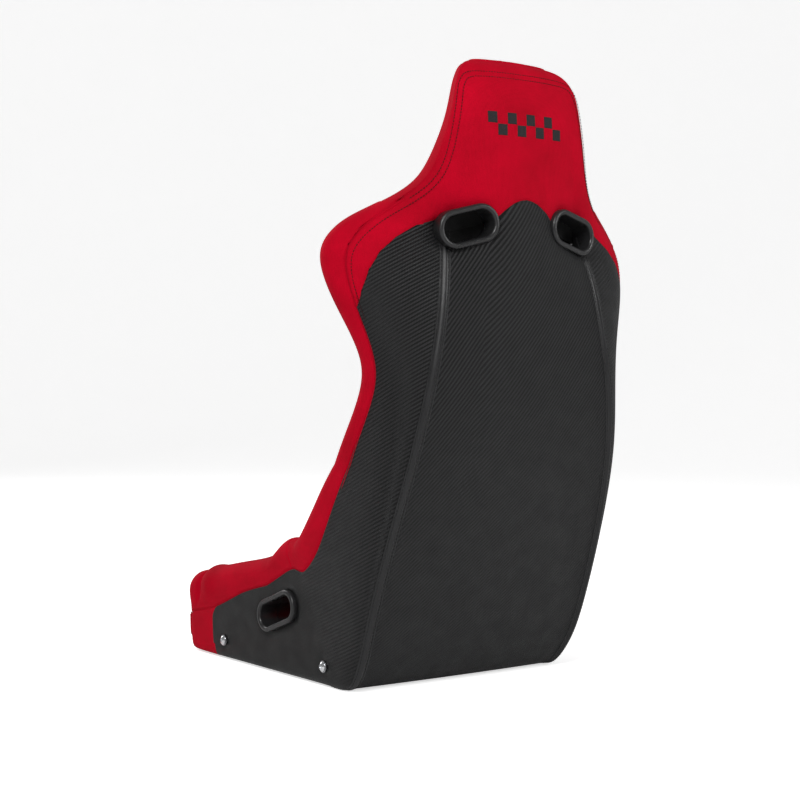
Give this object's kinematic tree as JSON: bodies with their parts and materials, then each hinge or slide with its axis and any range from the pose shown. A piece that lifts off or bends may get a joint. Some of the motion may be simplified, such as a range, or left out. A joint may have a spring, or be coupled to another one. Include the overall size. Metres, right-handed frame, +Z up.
{
  "type": "racing seat",
  "caption": "Fixed-back bucket racing seat: composite shell with sewn covers, foam side bolsters, belt-slot bezels, side-mount screws and a lift-out base cushion.",
  "frame": {"origin": "on the flat underside, on the middle plane, below the driver's hips", "axes": "+Z up, -Y the way the driver faces, +X the driver's left"},
  "size_m": [0.5428, 0.636, 0.914],
  "materials": {
    "frp": "moulded fibre-reinforced laminate",
    "black_vinyl": "carbon-weave vinyl, satin",
    "black_cloth": "plain dust cloth",
    "red_cloth": "brushed knitted cloth with stitched seams",
    "foam": "open-cell foam",
    "dark_thread": "satin embroidery thread",
    "gloss_black": "gloss moulded",
    "hook_loop": "hook-and-loop tape",
    "steel": "zinc plated",
    "chrome": "polished"
  },
  "bodies": {
    "seat": {"frp_shell": "frp", "underside_panel": "black_cloth", "mount_plate_left": "steel", "mount_plate_right": "steel", "mount_nuts": "steel", "mount_washers": "chrome", "mount_screws": "chrome", "rear_centre_panel": "black_vinyl", "rear_side_panel_left": "black_vinyl", "rear_side_panel_right": "black_vinyl", "rear_piping_left": "black_vinyl", "rear_piping_right": "black_vinyl", "shoulder_cover_rear": "red_cloth", "head_cover_rear": "red_cloth", "head_gusset": "red_cloth", "front_apron": "red_cloth", "emblem_patch": "dark_thread", "back_foam": "foam", "back_cover": "red_cloth", "headrest_foam": "foam", "headrest_cover": "red_cloth", "torso_bolster_foam_left": "foam", "torso_bolster_foam_right": "foam", "torso_bolster_cover_left": "red_cloth", "torso_bolster_cover_right": "red_cloth", "thigh_bolster_foam_left": "foam", "thigh_bolster_foam_right": "foam", "thigh_bolster_cover_left": "red_cloth", "thigh_bolster_cover_right": "red_cloth", "shoulder_bezel_rear_left": "gloss_black", "shoulder_bezel_rear_right": "gloss_black", "shoulder_bezel_front_left": "gloss_black", "shoulder_bezel_front_right": "gloss_black", "lap_bezel_outer_left": "gloss_black", "lap_bezel_outer_right": "gloss_black", "lap_bezel_inner_left": "gloss_black", "lap_bezel_inner_right": "gloss_black", "crotch_bezel_shell": "gloss_black", "loop_strips": "hook_loop"},
    "cushion": {"base_cushion_foam": "foam", "base_cushion_cover": "red_cloth", "hook_strips": "hook_loop", "crotch_bezel_cushion": "gloss_black"}
  },
  "joints": [
    {"name": "cushion_lift", "type": "slide", "parent": "seat", "child": "cushion", "axis": [0, 0, 1], "range_m": [0, 0.2]}
  ]
}
